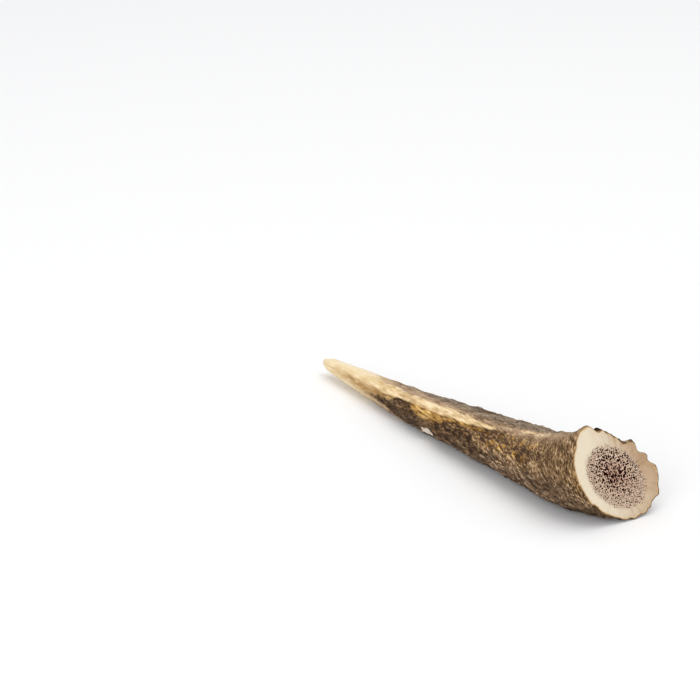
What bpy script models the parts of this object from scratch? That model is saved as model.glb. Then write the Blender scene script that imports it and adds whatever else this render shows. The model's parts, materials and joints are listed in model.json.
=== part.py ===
"""A deer antler tine, sawn off at its base, lying on its flatter underside.

One grown piece, so one closed solid. Its surface is a sweep of rings along the X axis: each ring is a
rounded, slightly angular section whose size, lean and height follow a few laws of the distance from the
saw cut. Furrows, pearls and the knobs of the rim are added to the rings, and the sawn face gets its
spongy core of small pits.

The base is at +X and the tip at -X. Seen from the base, section angles run from the +Y side (0 degrees)
over the top (90 degrees). The origin is the middle of the bounding box, on the surface it lies on.
"""
import math

import bpy
import numpy as np
from mathutils import Vector, geometry, noise

# Driving sizes in millimetres and degrees
LENGTH = 155.0            # along the axis, middle of the sawn face to the tip
BASE_RADIUS = 13.3        # mean radius that the even taper starts from
TIP_RADIUS = 2.4          # mean radius that it would end with
TIP_ROUNDING = 6.0        # length of the blunt round end

SWELL = 1.6               # the base swells where the burr begins
SWELL_AT = 6.0
SWELL_RUN = 14.0

BODY_OVAL = 0.04          # the body is a little wider than high
BASE_LEAN = 0.18          # at the cut the section is an oval that leans
BASE_LEAN_AT = 128.0
BASE_LEAN_RUN = 8.5

CREST = 0.137             # a rounded edge runs along the upper front side
CREST_AT = 121.0
CREST_WIDTH = 14.0
CREST_ON_BODY = 0.5       # share of it that is left on the body
TOP_FLAT = 0.14           # behind it the top is flatter
TOP_FLAT_AT = 75.0
TOP_FLAT_WIDTH = 24.0
TOP_FLAT_ON_BODY = 0.3
SHOULDER = 0.08           # a low shoulder on the far side of the base
SHOULDER_AT = -13.0
SHOULDER_WIDTH = 15.0
UNDERSIDE_FLAT = 0.05     # the side it lies on
UNDERSIDE_AT = 270.0
UNDERSIDE_WIDTH = 24.0
SHAPE_RUN = 12.0          # these forms fade from the base to the body over this length

CUT_TILT = 20.0           # the sawn face looks up by this much
CUT_TILT_RUN = 18.0
CUT_TILT_FADE = 1.5       # power that makes the tilt fade slowly at first
BASE_SHIFT = 6.1          # the base sits to the far side of the body's line
BASE_SHIFT_RUN = 6.5
SIDE_BOW = 0.4            # the body bows to the front side
TIP_LIFT = 2.6            # the tip curves up from the surface
TIP_LIFT_FROM = 0.55      # from this share of the length

FURROW_PITCH = 3.6        # lengthwise furrows and ridges, measured across them
FURROW_STRETCH = 5.0      # they are this many times longer than wide
FURROW_SHORTER = 0.4      # share of the stretch that they lose on the lower beam
FURROW_DEPTH = 1.1
FURROW_DEPTH_HIGH = 0.75  # further up the beam
FURROW_DROP = 0.9         # near the base they turn down the sides, towards the cut
FURROW_DROP_RUN = 26.0
PEARL_PITCH = 3.3         # small round lumps of the lower beam
PEARL_STRETCH = 1.25      # they are this much longer than wide
PEARL_RADIUS = 0.62       # against their pitch
PEARL_HEIGHT = 0.75
PEARL_FULL = 28.0         # full size up to this distance from the cut
PEARL_REACH = 80.0        # they thin out by this distance
PEARL_RUBBED = 0.7        # share that is worn off along the crest
PEARL_RUBBED_WIDTH = 26.0
BED = 0.3                 # the skin between the pearls lies this far below the plain section
LUMP_PITCH = 17.0         # slow swellings of the whole body
LUMP_HEIGHT = 0.35
SMOOTH_TIP = 8.0          # this much of the tip is worn quite smooth
SMOOTH_FADE = 34.0        # and the bark comes in over this length behind it
UNDERSIDE_REACH = 0.15    # the lumps it lies on are worn level this far below the plain section

# Knobs and notches of the burr on the rim of the cut: section angle, height and width
RIM_KNOBS = ((115, 0.9, 6), (104, -0.6, 5), (96, 0.5, 5), (77, 0.6, 6), (61, -0.4, 6), (44, 1.0, 7),
             (28, -0.6, 6), (15, 0.9, 6), (-3, 1.0, 6), (-17, -0.2, 6), (-32, 1.0, 6), (-46, -0.3, 6),
             (-74, 0.3, 6), (-90, 0.25, 6))
RIM_KNOB_RUN = 4.0

CORE_SHARE = 0.70         # the spongy core against the section
CORE_PITCH = 1.15         # spacing of the pits and of the walls between them
CORE_STIR = 0.35          # the pits stray from an even lattice by up to this much
CORE_MARGIN = 0.6         # clear of the core's edge, against their spacing
CORE_DEPTH = 0.15         # the walls of the core lie this far below the saw cut
PIT_DEPTH = 0.9

# Counts of the mesh
AROUND = 70
RINGS = 57
TIP_RINGS = 4
RING_CROWDING = 0.6       # the rings at the cut are this much closer than the average

BARK_COLOUR = (0.20, 0.13, 0.075, 1.0)
BARK_ROUGHNESS = 0.62
SHARP_ANGLE = 50.0        # edges sharper than this are not shaded smooth

TO_METRES = 0.001


def bump(angle, at, width):
    """A rounded rise of height 1 around one section angle; angles in degrees."""
    away = (angle - at + 180.0) % 360.0 - 180.0
    return math.exp(-((away / width) ** 2))


def smooth_step(low, high, value):
    t = min(max((value - low) / (high - low), 0.0), 1.0)
    return t * t * (3.0 - 2.0 * t)


def blend(start, end, share):
    return start + (end - start) * share


def mean_radius(s):
    """Mean radius at a distance s from the cut: an even taper and the swelling of the base."""
    taper = (BASE_RADIUS - TIP_RADIUS) / LENGTH
    return BASE_RADIUS - taper * s + SWELL * math.exp(-(((s - SWELL_AT) / SWELL_RUN) ** 2))


def end_rounding(s):
    """Share of the radius that the blunt round end of the tip leaves."""
    end = max((s - (LENGTH - TIP_ROUNDING)) / TIP_ROUNDING, 0.0)
    return math.sqrt(max(1.0 - end * end, 0.0))


def section_form(s, angle):
    """The section's radius over its mean radius, at one angle in degrees."""
    near_base = math.exp(-s / SHAPE_RUN)
    form = 1.0 + BODY_OVAL * math.cos(math.radians(2.0 * angle))
    lean = BASE_LEAN * math.exp(-s / BASE_LEAN_RUN)
    form += lean * math.cos(math.radians(2.0 * (angle - BASE_LEAN_AT)))
    form += CREST * blend(CREST_ON_BODY, 1.0, near_base) * bump(angle, CREST_AT, CREST_WIDTH)
    top_flat = TOP_FLAT * blend(TOP_FLAT_ON_BODY, 1.0, near_base)
    form -= top_flat * bump(angle, TOP_FLAT_AT, TOP_FLAT_WIDTH)
    form += SHOULDER * near_base * bump(angle, SHOULDER_AT, SHOULDER_WIDTH)
    form -= UNDERSIDE_FLAT * (1.0 - near_base) * bump(angle, UNDERSIDE_AT, UNDERSIDE_WIDTH)
    return form


def ring_frame(s):
    """The ring's side shift, its lift off the surface and the tilt of its plane."""
    share = s / LENGTH
    side = -SIDE_BOW * 4.0 * share * (1.0 - share)
    side += BASE_SHIFT * (math.exp(-s / BASE_SHIFT_RUN) - 1.0)
    lift = TIP_LIFT * max((share - TIP_LIFT_FROM) / (1.0 - TIP_LIFT_FROM), 0.0) ** 2
    tilt = math.radians(CUT_TILT) * math.exp(-((s / CUT_TILT_RUN) ** CUT_TILT_FADE))
    return side, lift, tilt


def relief(s, angle, place):
    """Height of the bark over the plain section, in millimetres."""
    rough = 1.0 - smooth_step(LENGTH - SMOOTH_TIP - SMOOTH_FADE, LENGTH - SMOOTH_TIP, s)
    low_beam = 1.0 - smooth_step(PEARL_FULL, PEARL_REACH, s)
    drop = FURROW_DROP * FURROW_DROP_RUN * math.exp(-s / FURROW_DROP_RUN)
    along = place.x / (FURROW_STRETCH * (1.0 - FURROW_SHORTER * low_beam))
    furrow = noise.noise(Vector((along, place.y, place.z + drop)) / FURROW_PITCH)
    height = blend(FURROW_DEPTH_HIGH, FURROW_DEPTH, low_beam) * furrow
    distances, _ = noise.voronoi(Vector((place.x / PEARL_STRETCH, place.y, place.z)) / PEARL_PITCH)
    pearl = max(1.0 - (distances[0] / PEARL_RADIUS) ** 2, 0.0)
    rubbed = PEARL_RUBBED * bump(angle, CREST_AT, PEARL_RUBBED_WIDTH)
    height += low_beam * (PEARL_HEIGHT * (1.0 - rubbed) * pearl - BED)
    height += LUMP_HEIGHT * noise.noise(place / LUMP_PITCH)
    return rough * height


def rim_relief(s, angle):
    knobs = sum(height * bump(angle, at, width) for at, height, width in RIM_KNOBS)
    return knobs * math.exp(-((s / RIM_KNOB_RUN) ** 2))


def ring_places():
    """Distances of the rings from the cut, closest where the base is rough and the tip is round."""
    straight = LENGTH - TIP_ROUNDING
    places = []
    for i in range(RINGS + 1):
        t = i / RINGS
        places.append(straight * blend(t * t, t, RING_CROWDING))
    for i in range(1, TIP_RINGS):
        places.append(straight + TIP_ROUNDING * math.sin(math.radians(90.0) * i / TIP_RINGS))
    return places


def section_point(s, angle, radius, height):
    """A point of a ring in space; height is that of the ring's middle over the surface."""
    side, _, tilt = ring_frame(s)
    across = radius * math.cos(math.radians(angle))
    up = radius * math.sin(math.radians(angle))
    return Vector((-s - up * math.sin(tilt), side + across, height + up * math.cos(tilt)))


def ring_height(s, angles):
    """Height of the ring's middle when its lowest point is set down on the surface."""
    _, lift, tilt = ring_frame(s)
    radius = mean_radius(s)
    lowest = min(radius * section_form(s, a) * math.sin(math.radians(a)) for a in angles)
    return lift - lowest * math.cos(tilt)


def worn(place, tilt):
    """A lump that reaches too far below the plain section is worn back within its ring's plane."""
    rise = max(-UNDERSIDE_REACH - place.z, 0.0)
    return Vector((place.x - rise * math.tan(tilt), place.y, place.z + rise))


def make_rings():
    """The rings of the body as lists of points, from the cut to the last ring before the tip."""
    angles = [360.0 * j / AROUND for j in range(AROUND)]
    rings = []
    for s in ring_places():
        height = ring_height(s, angles)
        ring = []
        for angle in angles:
            radius = mean_radius(s) * section_form(s, angle) * end_rounding(s)
            place = section_point(s, angle, radius, height)
            radius += relief(s, angle, place) + rim_relief(s, angle)
            ring.append(worn(section_point(s, angle, radius, height), ring_frame(s)[2]))
        rings.append(ring)
    tip = section_point(LENGTH, 0.0, 0.0, ring_height(LENGTH, angles))
    return rings, tip


def core_outline():
    """The edge of the spongy core in the plane of the cut, as points (across, up)."""
    points = []
    for j in range(AROUND):
        angle = 360.0 * j / AROUND
        form = section_form(0.0, angle) - CREST * bump(angle, CREST_AT, CREST_WIDTH)
        radius = CORE_SHARE * mean_radius(0.0) * form
        points.append((radius * math.cos(math.radians(angle)), radius * math.sin(math.radians(angle))))
    return points


def core_lattice(outline):
    """Points of a triangular lattice inside the core; every third one is a pit."""
    reach = max(math.hypot(a, b) for a, b in outline)
    rows = int(reach / (CORE_PITCH * math.sqrt(0.75))) + 1
    columns = int(reach / CORE_PITCH) + rows
    inside = []
    for row in range(-rows, rows + 1):
        for column in range(-columns, columns + 1):
            across = CORE_PITCH * (column + 0.5 * row)
            up = CORE_PITCH * math.sqrt(0.75) * row
            angle = math.degrees(math.atan2(up, across)) % 360.0
            edge = outline[int(round(angle / 360.0 * AROUND)) % AROUND]
            if math.hypot(across, up) > math.hypot(*edge) - CORE_MARGIN * CORE_PITCH:
                continue
            stir = noise.noise_vector(Vector((across, up, 0.0)) / (2.0 * CORE_PITCH))
            spot = (across + CORE_STIR * stir.x, up + CORE_STIR * stir.y)
            inside.append((spot, (column - row) % 3 == 0))
    return inside


def make_core():
    """Triangles of the core's floor, with the depth of each corner below the cut."""
    outline = core_outline()
    lattice = core_lattice(outline)
    flat = [Vector(p) for p in outline] + [Vector(spot) for spot, _ in lattice]
    edges = [(j, (j + 1) % AROUND) for j in range(AROUND)]
    corners, _, faces, _, _, _ = geometry.delaunay_2d_cdt(flat, edges, [], 1, 0.001)
    depths = [0.0] * AROUND
    for _, is_pit in lattice:
        depths.append(PIT_DEPTH if is_pit else CORE_DEPTH)
    return corners, depths, faces


def face_point(across, up, depth, height):
    """A point of the sawn face, or below it by depth, in space."""
    tilt = math.radians(CUT_TILT)
    x = -up * math.sin(tilt) - depth * math.cos(tilt)
    z = height + up * math.cos(tilt) - depth * math.sin(tilt)
    return Vector((x, across, z))


def make_antler():
    rings, tip = make_rings()
    points = [point for ring in rings for point in ring]
    faces = []
    for i in range(len(rings) - 1):
        for j in range(AROUND):
            k = (j + 1) % AROUND
            faces.append((i * AROUND + j, (i + 1) * AROUND + j, (i + 1) * AROUND + k, i * AROUND + k))
    last = (len(rings) - 1) * AROUND
    points.append(tip)
    for j in range(AROUND):
        faces.append((last + j, len(points) - 1, last + (j + 1) % AROUND))

    # The sawn face: a flat ring of solid bone, then the pitted core
    first = len(points)
    height = ring_height(0.0, [360.0 * j / AROUND for j in range(AROUND)])
    corners, depths, core_faces = make_core()
    for corner, depth in zip(corners, depths):
        points.append(face_point(corner.x, corner.y, depth, height))
    for j in range(AROUND):
        k = (j + 1) % AROUND
        faces.append((j, k, first + k, first + j))
    for face in core_faces:
        faces.append(tuple(first + corner for corner in face))

    solid = np.array([tuple(point) for point in points])
    low, high = solid.min(axis=0), solid.max(axis=0)
    solid -= ((low[0] + high[0]) / 2.0, (low[1] + high[1]) / 2.0, low[2])

    mesh = bpy.data.meshes.new("antler")
    mesh.from_pydata((solid * TO_METRES).tolist(), [], faces)
    mesh.update()
    mesh.shade_smooth()
    mesh.set_sharp_from_angle(angle=math.radians(SHARP_ANGLE))
    return bpy.data.objects.new("antler", mesh)


def bark_material():
    material = bpy.data.materials.new("antler bark and bone")
    material.use_nodes = True
    shader = material.node_tree.nodes["Principled BSDF"]
    shader.inputs["Base Color"].default_value = BARK_COLOUR
    shader.inputs["Roughness"].default_value = BARK_ROUGHNESS
    shader.inputs["Metallic"].default_value = 0.0
    return material


def main():
    for item in list(bpy.data.objects):
        bpy.data.objects.remove(item)
    antler = make_antler()
    antler.data.materials.append(bark_material())
    bpy.context.scene.collection.objects.link(antler)
    low = [min(corner[i] for corner in antler.bound_box) for i in range(3)]
    high = [max(corner[i] for corner in antler.bound_box) for i in range(3)]
    size = [round(1000.0 * (b - a), 1) for a, b in zip(low, high)]
    print("antler size in mm:", size, "faces:", len(antler.data.polygons))


main()
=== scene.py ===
# %% [markdown]
# A deer antler tine, sawn off at its base and sold as it grew.
#
# The real thing is one piece of bone. It has a furrowed bark, a tip that is worn to ivory, a burr of small
# knobs around its base, and a sawn face with a ring of solid bone around a spongy core. So it is one mesh
# here too. It could be sculpted by hand, but an antler follows rules: it tapers, its section changes slowly,
# and its roughness fades towards the tip. This script writes those rules down and lets nodes grow the shape.

# %% Load the frame
import json
import math
from types import SimpleNamespace

import bpy
import numpy as np
from mathutils import Matrix, Vector, geometry


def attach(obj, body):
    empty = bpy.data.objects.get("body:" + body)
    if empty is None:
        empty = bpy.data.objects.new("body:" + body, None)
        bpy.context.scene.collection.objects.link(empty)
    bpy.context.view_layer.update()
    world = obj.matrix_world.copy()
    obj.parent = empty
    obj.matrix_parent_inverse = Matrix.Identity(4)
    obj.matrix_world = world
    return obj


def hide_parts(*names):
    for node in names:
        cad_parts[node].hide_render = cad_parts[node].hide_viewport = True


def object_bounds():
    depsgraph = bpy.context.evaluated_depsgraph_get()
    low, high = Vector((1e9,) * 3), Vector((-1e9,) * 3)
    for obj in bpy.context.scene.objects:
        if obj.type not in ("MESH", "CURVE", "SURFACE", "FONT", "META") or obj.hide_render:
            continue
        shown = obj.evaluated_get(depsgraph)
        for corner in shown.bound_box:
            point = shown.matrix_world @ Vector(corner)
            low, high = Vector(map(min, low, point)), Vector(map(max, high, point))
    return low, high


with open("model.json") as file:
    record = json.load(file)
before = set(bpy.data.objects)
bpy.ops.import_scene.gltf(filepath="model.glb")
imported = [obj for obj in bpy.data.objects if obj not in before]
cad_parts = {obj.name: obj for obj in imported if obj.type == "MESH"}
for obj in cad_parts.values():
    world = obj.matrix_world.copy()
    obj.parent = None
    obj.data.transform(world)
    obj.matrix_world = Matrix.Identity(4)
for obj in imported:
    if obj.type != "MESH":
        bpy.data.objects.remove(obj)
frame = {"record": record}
cad_low, cad_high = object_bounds()
MM = 0.001


def in_mm(corner):
    return [round(value / MM, 1) for value in corner]


print("the solid's box in mm:", in_mm(cad_low), in_mm(cad_high))

# %% [markdown]
# The sizes of the antler, in millimetres and degrees. They are the same as in the solid in model.glb,
# because this mesh has to lie where that solid lies. Distances run from the saw cut to the tip. Section
# angles start on the far side, with 90 degrees on top and 180 on the side that faces the camera.

# %% Sizes of the antler
SIZES = dict(
    length=155.0,             # middle of the sawn face to the tip
    base_radius=13.3,         # mean radius that the even taper starts from
    tip_radius=2.4,
    tip_rounding=6.0,         # length of the blunt round end
    swell=1.6,                # the base swells where the burr begins
    swell_at=6.0,
    swell_run=14.0,
    body_oval=0.04,           # the body is a little wider than high
    base_lean=0.18,           # at the cut the section is an oval that leans
    base_lean_at=128.0,
    base_lean_run=8.5,
    crest=0.137,              # a rounded edge along the upper front side
    crest_at=121.0,
    crest_width=14.0,
    crest_on_body=0.5,
    top_flat=0.14,            # behind it the top is flatter
    top_flat_at=75.0,
    top_flat_width=24.0,
    top_flat_on_body=0.3,
    shoulder=0.08,            # a low shoulder on the far side of the base
    shoulder_at=-13.0,
    shoulder_width=15.0,
    underside_flat=0.05,      # the side it lies on
    underside_at=270.0,
    underside_width=24.0,
    shape_run=12.0,           # these forms fade from the base to the body over this length
    cut_tilt=20.0,            # the sawn face looks up by this much
    cut_tilt_run=18.0,
    cut_tilt_fade=1.5,
    base_shift=6.1,           # the base sits to the far side of the body's line
    base_shift_run=6.5,
    side_bow=0.4,
    tip_lift=2.6,             # the tip curves up from the surface
    tip_lift_from=0.55,
)
print("the antler is", SIZES["length"], "mm long, measured from the middle of the cut")

# %% [markdown]
# Node trees do two jobs below: they grow the shape, and they colour it. Placing and linking nodes by hand
# takes many lines for each, so one small function adds a node with its settings and its links. The part of
# it that fills the inputs stands alone, because a material's shader is there before anything is added.

# %% Add a node
def fill(tree, node, inputs):
    """Each input is a value, a socket, a term, or a tuple of terms that makes a vector."""
    for name, value in inputs.items():
        if isinstance(value, tuple) and any(isinstance(part, Term) for part in value):
            value = add(tree, "ShaderNodeCombineXYZ", None, dict(enumerate(value))).outputs[0]
        value = getattr(value, "socket", value)
        if isinstance(value, bpy.types.NodeSocket):
            tree.links.new(value, node.inputs[name])
        else:
            node.inputs[name].default_value = value


def add(tree, kind, settings=None, inputs=None):
    """Adds one node with its settings and its links."""
    node = tree.nodes.new(kind)
    for name, value in (settings or {}).items():
        setattr(node, name, value)
    fill(tree, node, inputs or {})
    return node


trial = bpy.data.node_groups.new("trial", "ShaderNodeTree")
print("one call made and set a node:", add(trial, "ShaderNodeMath", {"operation": "SINE"}, {0: 1.0}).name)
bpy.data.node_groups.remove(trial)

# %% [markdown]
# The antler's rules are long formulas. Drawn as nodes they would be hard to read, so a Term stands for a
# number that a tree works out at every point, and arithmetic on a Term adds the Math nodes. The same
# formula then also works on plain numbers, which lets the script measure the shape before it is grown.

# %% Formulas that become nodes
class Term:
    """A number that a node tree works out at every point."""

    def __init__(self, tree, socket):
        self.tree = tree
        self.socket = socket

    def __add__(self, other):
        return step("ADD", None, self, other)

    def __sub__(self, other):
        return step("SUBTRACT", None, self, other)

    def __rsub__(self, other):
        return step("SUBTRACT", None, other, self)

    def __mul__(self, other):
        return step("MULTIPLY", None, self, other)

    def __truediv__(self, other):
        return step("DIVIDE", None, self, other)

    def __rtruediv__(self, other):
        return step("DIVIDE", None, other, self)

    def __neg__(self):
        return step("MULTIPLY", None, self, -1.0)

    __radd__ = __add__
    __rmul__ = __mul__


def step(operation, on_numbers, *values):
    """One step of a formula: worked out now on plain numbers, a Math node on terms."""
    terms = [value for value in values if isinstance(value, Term)]
    if not terms:
        return on_numbers(*values)
    tree = terms[0].tree
    node = add(tree, "ShaderNodeMath", {"operation": operation}, dict(enumerate(values)))
    return Term(tree, node.outputs[0])


def exp(value):
    return step("EXPONENT", np.exp, value)


def power(value, by):
    return step("POWER", np.power, value, by)


def cosine(degrees):
    return step("COSINE", np.cos, degrees * math.radians(1.0))


def sine(degrees):
    return step("SINE", np.sin, degrees * math.radians(1.0))


def larger(one, other):
    return step("MAXIMUM", np.maximum, one, other)


def smaller(one, other):
    return step("MINIMUM", np.minimum, one, other)


def blend(start, end, share):
    return start + (end - start) * share


def smooth_step(low, high, value, start=0.0, end=1.0):
    """Passes smoothly from start to end while the value goes from low to high."""
    terms = [part for part in (low, high, value) if isinstance(part, Term)]
    if not terms:
        t = np.clip((value - low) / (high - low), 0.0, 1.0)
        return start + (end - start) * t * t * (3.0 - t * 2.0)
    node = add(terms[0].tree, "ShaderNodeMapRange", {"interpolation_type": "SMOOTHSTEP"},
               {0: value, 1: low, 2: high, 3: start, 4: end})
    return Term(terms[0].tree, node.outputs[0])


print("the same formula on a number: sine of 30 degrees is", round(float(sine(30.0)), 3))

# %% [markdown]
# The rules of the shape. Each one says how the antler changes with the distance s from the saw cut, or
# around its section, and k holds the sizes. Modelling by eye could give the same form once, but formulas
# work on numbers and on the fields of a node tree alike, so the blank, the marks and the nodes all agree.

# %% Rules of the shape
def bump(angle, at, width):
    """A rounded rise of height 1 around one section angle."""
    turn = step("WRAP", lambda v, high, low: low + (v - low) % (high - low), angle - at, 180.0, -180.0)
    return exp(-(turn / width) * (turn / width))


def mean_radius(k, s):
    taper = (k.base_radius - k.tip_radius) / k.length
    far = (s - k.swell_at) / k.swell_run
    return k.base_radius - taper * s + k.swell * exp(-(far * far))


def end_rounding(k, s):
    """Share of the radius that the blunt round end of the tip leaves."""
    end = larger((s - (k.length - k.tip_rounding)) / k.tip_rounding, 0.0)
    return power(larger(1.0 - end * end, 0.0), 0.5)


def section_form(k, s, angle):
    """The section's radius over its mean radius."""
    near_base = exp(-(s / k.shape_run))
    form = 1.0 + k.body_oval * cosine(angle * 2.0)
    form = form + k.base_lean * exp(-(s / k.base_lean_run)) * cosine((angle - k.base_lean_at) * 2.0)
    crest = k.crest * blend(k.crest_on_body, 1.0, near_base)
    form = form + crest * bump(angle, k.crest_at, k.crest_width)
    top_flat = k.top_flat * blend(k.top_flat_on_body, 1.0, near_base)
    form = form - top_flat * bump(angle, k.top_flat_at, k.top_flat_width)
    form = form + k.shoulder * near_base * bump(angle, k.shoulder_at, k.shoulder_width)
    return form - k.underside_flat * (1.0 - near_base) * bump(angle, k.underside_at, k.underside_width)


def cut_tilt(k, s):
    return k.cut_tilt * exp(-power(s / k.cut_tilt_run, k.cut_tilt_fade))


def side_shift(k, s):
    share = s / k.length
    bow = k.side_bow * 4.0 * share * (1.0 - share)
    return k.base_shift * (exp(-(s / k.base_shift_run)) - 1.0) - bow


def tip_lift(k, s):
    late = larger((s / k.length - k.tip_lift_from) / (1.0 - k.tip_lift_from), 0.0)
    return k.tip_lift * late * late


antler = SimpleNamespace(**SIZES)
all_round = np.arange(360.0)
face_radii = mean_radius(antler, 0.0) * section_form(antler, 0.0, all_round)
print("mean width of the sawn face in mm:", round(2.0 * float(face_radii.mean()), 1))

# %% [markdown]
# The antler starts as a blank: a plain rod that has the antler's mesh but none of its shape. It has rings
# around it, closer together where the bark is rough, and a flat end. A primitive cylinder would do for the
# rings, but its end could not hold the pores of the core. Here are the places of the rings along the rod,
# and how high each one's middle lies once its lowest point touches the surface.

# %% Rings of the blank
AROUND = 240
RINGS = 262
RING_CROWDING = 0.62          # the rings at the cut are this much closer than the average
TIP_RINGS = 9


def ring_places(k):
    straight = k.length - k.tip_rounding
    t = np.linspace(0.0, 1.0, RINGS + 1)
    body = straight * blend(t * t, t, RING_CROWDING)
    quarter = np.linspace(0.0, 90.0, TIP_RINGS + 1)[1:-1]
    return np.concatenate([body, straight + k.tip_rounding * sine(quarter)])


def ring_heights(k, places):
    """Height of each ring's middle over the surface when its lowest point is set down on it."""
    heights = []
    for s in places:
        lowest = (mean_radius(k, s) * section_form(k, s, all_round) * sine(all_round)).min()
        heights.append(tip_lift(k, s) - lowest * cosine(cut_tilt(k, s)))
    return np.array(heights)


places = ring_places(antler)
heights = ring_heights(antler, places)
angles = np.arange(AROUND) * (360.0 / AROUND)
rim_radii = mean_radius(antler, 0.0) * section_form(antler, 0.0, angles)
print("rings:", len(places), "closest in mm:", round(float(places[1]), 2))

# %% [markdown]
# Inside the ring of solid bone an antler is spongy. The core is a leaning oval a little off the middle of
# the face, and its widest cells, where the marrow was, lie a little higher still. So one measure tells how
# far out a point is, from either middle.

# %% The spongy core
CORE_MIDDLE = (-0.2, -0.8)    # across and up in the sawn face
CORE_LONG = 12.6              # its half axes
CORE_SHORT = 8.9
CORE_LEAN = 137.0
MARROW_MIDDLE = (-0.6, 1.2)   # the pores are largest around here
MARROW_SHARE = 0.78           # how much of the core's size holds the large ones


def core_share(across, up, middle=CORE_MIDDLE):
    """0 in the middle of the core and 1 at its edge."""
    across, up = across - middle[0], up - middle[1]
    along = across * cosine(CORE_LEAN) + up * sine(CORE_LEAN)
    aside = up * cosine(CORE_LEAN) - across * sine(CORE_LEAN)
    return np.hypot(along / CORE_LONG, aside / CORE_SHORT)


print("share of the core at the middle of the cut:", round(float(core_share(0.0, 0.0)), 3))

# %% [markdown]
# The saw opens the cells of the core, large and dark in the middle and as fine as specks at the margin. A
# bump texture could fake them, but real pits keep their shadows from every side, so each pore is a small
# uneven polygon that is sunk into the face later. A strayed lattice spreads them without gaps or clumps.

# %% Pores of the spongy core
PORE_PITCH = 0.86
LARGE_PORE = 0.42             # radius of a pore in the middle
SMALL_PORE = 0.27             # and where the large ones end
PORE_SIZES = (0.5, 1.3)       # the smallest and the largest of its neighbours, against that
SPECK_PITCH = 0.72
SPECK = 0.215                 # radius of the specks of the margin
SPECK_SIZES = (0.6, 1.3)
PORES_END, SPECKS_END = 0.95, 0.98          # shares of the core
SPECKS_FROM = 0.95            # share of the marrow's size
MARROW_RAGGED, CORE_RAGGED = 0.12, 0.08     # how much those lines come and go
PORE_STRAY = 0.3              # against the pitch
PORE_SIDES, SPECK_SIDES = 7, 5
PORE_LONGER = 1.35            # the longest pore against a round one
PORE_UNEVEN = 0.25            # how much its corners come and go
CORNER_STRAY = 18.0           # degrees
LATTICE_REACH = 22.0          # just past the rim
rng = np.random.default_rng(4)


def lattice(pitch, stir):
    """Points of a triangular lattice over the face, each strayed a little."""
    reach = int(LATTICE_REACH / pitch)
    rows, columns = np.meshgrid(np.arange(-reach, reach + 1), np.arange(-reach, reach + 1))
    across = pitch * (columns + 0.5 * (rows % 2)) + rng.uniform(-stir, stir, rows.shape) * pitch
    up = pitch * math.sqrt(0.75) * rows + rng.uniform(-stir, stir, rows.shape) * pitch
    return np.column_stack([across.ravel(), up.ravel()])


def pore_outline(across, up, radius, sides):
    """An uneven polygon, longer one way than the other."""
    turn = rng.uniform(0.0, 360.0)
    longer = rng.uniform(1.0, PORE_LONGER)
    outline = []
    for corner in range(sides):
        angle = 360.0 * corner / sides + rng.uniform(-CORNER_STRAY, CORNER_STRAY)
        reach = radius * rng.uniform(1.0 - PORE_UNEVEN, 1.0 + PORE_UNEVEN)
        x, y = reach * longer * cosine(angle), reach / longer * sine(angle)
        outline.append((across + x * cosine(turn) - y * sine(turn), up + x * sine(turn) + y * cosine(turn)))
    return outline


def make_pores():
    pores = []
    for across, up in lattice(PORE_PITCH, PORE_STRAY):
        away = core_share(across, up, MARROW_MIDDLE) / MARROW_SHARE
        away = away + rng.uniform(-MARROW_RAGGED, MARROW_RAGGED)
        if away < 1.0 and core_share(across, up) < PORES_END:
            radius = blend(LARGE_PORE, SMALL_PORE, away * away) * rng.uniform(*PORE_SIZES)
            pores.append(pore_outline(across, up, radius, PORE_SIDES))
    for across, up in lattice(SPECK_PITCH, PORE_STRAY):
        if core_share(across, up, MARROW_MIDDLE) / MARROW_SHARE < SPECKS_FROM:
            continue
        if core_share(across, up) + rng.uniform(-CORE_RAGGED, CORE_RAGGED) < SPECKS_END:
            pores.append(pore_outline(across, up, SPECK * rng.uniform(*SPECK_SIZES), SPECK_SIDES))
    return pores


pores = make_pores()
print("pores:", len(pores))

# %% [markdown]
# The rim, the pores and an even scatter of points between them have to become one clean mesh. A Delaunay
# triangulation does that: it joins neighbouring points, keeps the given outlines as edges, and remembers
# which triangles lie inside a pore.

# %% Triangles of the sawn face
RIM_ROW = 0.35                # a row of points this far inside the rim keeps its edge crisp
BONE_PITCH = 0.8              # points of the ring of solid bone
BONE_STRAY = 0.1
INSIDE_RIM = 1                # Blender's number for a triangulation that keeps only what lies inside
MERGE_WITHIN = 1e-4


def rim_radius(angle):
    return np.interp(angle % 360.0, np.append(angles, 360.0), np.append(rim_radii, rim_radii[0]))


def face_points():
    """Points of the sawn face apart from the rim and the pores: an inner row and an even scatter."""
    inner = rim_radii - RIM_ROW
    points = list(zip(inner * cosine(angles), inner * sine(angles)))
    for across, up in lattice(BONE_PITCH, BONE_STRAY):
        angle = math.degrees(math.atan2(up, across))
        if math.hypot(across, up) > rim_radius(angle) - RIM_ROW - 0.5 * BONE_PITCH:
            continue
        if core_share(across, up) > 1.0:
            points.append((across, up))
    return points


def triangulate_face():
    """Corners (across, up), triangles, and for each triangle whether it lies in a pore."""
    flat = [Vector(p) for p in zip(rim_radii * cosine(angles), rim_radii * sine(angles))]
    edges = [(j, (j + 1) % AROUND) for j in range(AROUND)]
    flat += [Vector(p) for p in face_points()]
    outlines = []
    for pore in pores:
        outlines.append(list(range(len(flat), len(flat) + len(pore))))
        flat += [Vector(p) for p in pore]
    corners, _, triangles, came_from, _, within = geometry.delaunay_2d_cdt(
        flat, edges, outlines, INSIDE_RIM, MERGE_WITHIN)
    return corners, triangles, came_from, [len(found) > 0 for found in within]


corners, triangles, came_from, in_pore = triangulate_face()
print("triangles of the sawn face:", len(triangles), "of them in pores:", sum(in_pore))

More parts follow.
